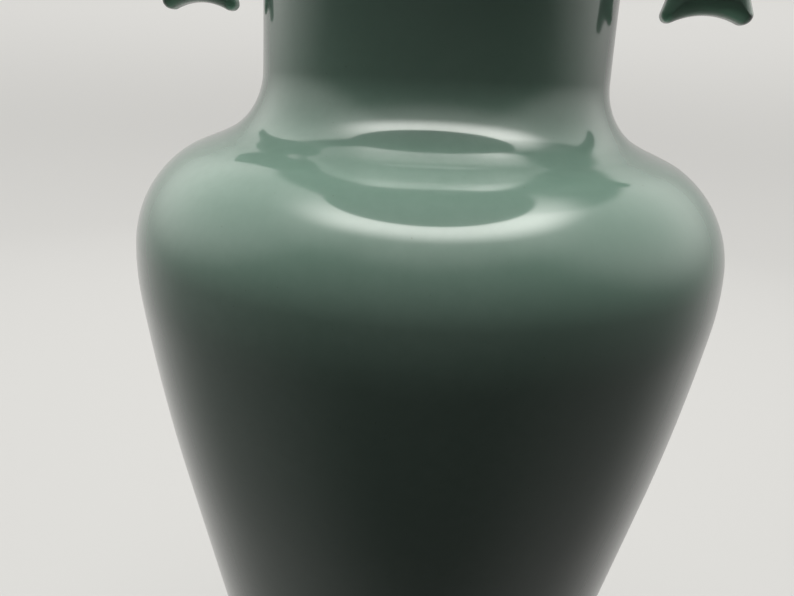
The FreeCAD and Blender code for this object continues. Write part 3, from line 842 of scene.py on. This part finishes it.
def sweep_paper():
    """Pale paper that glows a little, as it does in a light tent, and is clear from behind."""
    material, tree, shader = new_material("sweep_paper")
    height = height_of(tree, tree.nodes.new("ShaderNodeTexCoord").outputs["Object"])
    glow_level = remap(tree, height, WALL_GLOW_START, WALL_GLOW_END, PAPER_GLOW, WALL_GLOW)
    tree.links.new(glow_level, shader.inputs["Emission Strength"])
    shader.inputs["Base Color"].default_value = (*(PAPER_LIT_SHARE * part for part in PAPER), 1)
    shader.inputs["Roughness"].default_value = 1.0
    shader.inputs["Specular IOR Level"].default_value = 0.0
    shader.inputs["Emission Color"].default_value = (*PAPER, 1)
    clear = tree.nodes.new("ShaderNodeBsdfTransparent")
    choice = tree.nodes.new("ShaderNodeMixShader")
    geometry = tree.nodes.new("ShaderNodeNewGeometry")
    tree.links.new(geometry.outputs["Backfacing"], choice.inputs["Fac"])
    tree.links.new(shader.outputs["BSDF"], choice.inputs[1])
    tree.links.new(clear.outputs["BSDF"], choice.inputs[2])
    tree.links.new(choice.outputs["Shader"], tree.nodes["Material Output"].inputs["Surface"])
    return material


SHOULDER_CENTRE = Vector((0, 0, 0.33))

# Softboxes: azimuth, elevation, distance, size and radiance.
SOFTBOXES = {
    "overhead": (0, 85, 1.9, 1.3, 11.5),
    "back_left": (-50, 42, 1.8, 1.3, 4.2),
    "back_right": (50, 42, 1.8, 1.3, 4.2),
    "left": (-100, 30, 1.8, 1.0, 1.0),
    "front_fill": (180, 5, 2.0, 2.0, 0.13),
}


def make_softbox(name, azimuth, elevation, distance, size, radiance):
    """A square softbox aimed at the shoulder, which neither the camera nor the glaze's mirror sees."""
    data = bpy.data.lights.new(name, "AREA")
    data.shape = "SQUARE"
    data.size = size
    data.energy = radiance * pi * size * size
    light = bpy.data.objects.new(name, data)
    towards = facing(azimuth, elevation)
    light.location = SHOULDER_CENTRE + towards * distance
    light.rotation_euler = towards.to_track_quat("Z", "Y").to_euler()
    light.visible_glossy = False
    light.visible_camera = False
    bpy.context.scene.collection.objects.link(light)


def make_lights():
    """Hangs the softboxes."""
    for name, values in SOFTBOXES.items():
        make_softbox(name, *values)


def glow(tree, place, azimuth, elevation, inner, outer):
    """A round zone of the surroundings: 1 within the inner angle of its centre, and 0 past the outer one."""
    node = tree.nodes.new("ShaderNodeVectorMath")
    node.operation = "DOT_PRODUCT"
    tree.links.new(place, node.inputs[0])
    node.inputs[1].default_value = facing(azimuth, elevation)
    return remap(tree, node.outputs["Value"], cos(radians(outer)), cos(radians(inner)))


# Round zones that the glaze mirrors: azimuth, elevation, inner and outer angle, then radiance in ZONES.
ZONES = {
    "tent_roof": (180, 80, 20, 50, 1.1),
    "lit_back": (0, -5, 15, 90, 0.36),
    "upper_right": (75, 42, 20, 48, 0.8),
    "upper_left": (-75, 42, 20, 48, 0.8),
    "floor_left": (-70, -35, 15, 70, 0.16),
    "floor_right": (80, -30, 10, 60, 0.10),
}
OPENING = (0, 84, 24, 25.5)
OPENING_RIM = (0, 84, 28.5, 41)
RIM_RADIANCE = 6.8
FRONT_SIDE = (165, 20, 55, 92)
DARK_BACK = (10, 62, 31, 35)
ROOM_LEVEL = 0.08
WARM_WHITE = (1.0, 0.985, 0.95)


def make_world():
    """The surroundings that the glaze mirrors, and one even glow where the camera sees past the sweep.

    The roof has a round opening with a bright rim on the camera's side, and the upper back has a dark zone.
    """
    world = bpy.data.worlds.new("studio")
    bpy.context.scene.world = world
    world.use_nodes = True
    world.cycles_visibility.diffuse = False
    tree = world.node_tree
    place = tree.nodes.new("ShaderNodeTexCoord").outputs["Generated"]
    level = ROOM_LEVEL
    for *zone, radiance in ZONES.values():
        light = calculate(tree, "MULTIPLY", glow(tree, place, *zone), radiance)
        level = calculate(tree, "ADD", light, level)
    opening = glow(tree, place, *OPENING)
    for shade in (opening, glow(tree, place, *DARK_BACK)):
        level = calculate(tree, "MULTIPLY", level, calculate(tree, "SUBTRACT", 1.0, shade))
    rim = calculate(tree, "SUBTRACT", glow(tree, place, *OPENING_RIM), opening)
    rim = calculate(tree, "MULTIPLY", rim, glow(tree, place, *FRONT_SIDE))
    level = calculate(tree, "ADD", level, calculate(tree, "MULTIPLY", rim, RIM_RADIANCE))
    choice = tree.nodes.new("ShaderNodeMix")
    seen = tree.nodes.new("ShaderNodeLightPath").outputs["Is Camera Ray"]
    tree.links.new(seen, choice.inputs["Factor"])
    tree.links.new(level, choice.inputs["A"])
    choice.inputs["B"].default_value = WALL_GLOW
    background = tree.nodes["Background"]
    background.inputs["Color"].default_value = (*WARM_WHITE, 1)
    tree.links.new(choice.outputs["Result"], background.inputs["Strength"])


def main():
    skin, grid, normals, ends = skin_surface()
    glaze = celadon_glaze()
    make_sections(skin, grid, normals, ends, glaze)
    make_foot(skin, grid, normals, ends, bare_foot())
    make_base(glaze)
    make_handles(glaze)
    make_camera()
    make_sweep()
    make_lights()
    make_world()
    bpy.context.scene.view_settings.view_transform = "Standard"


main()
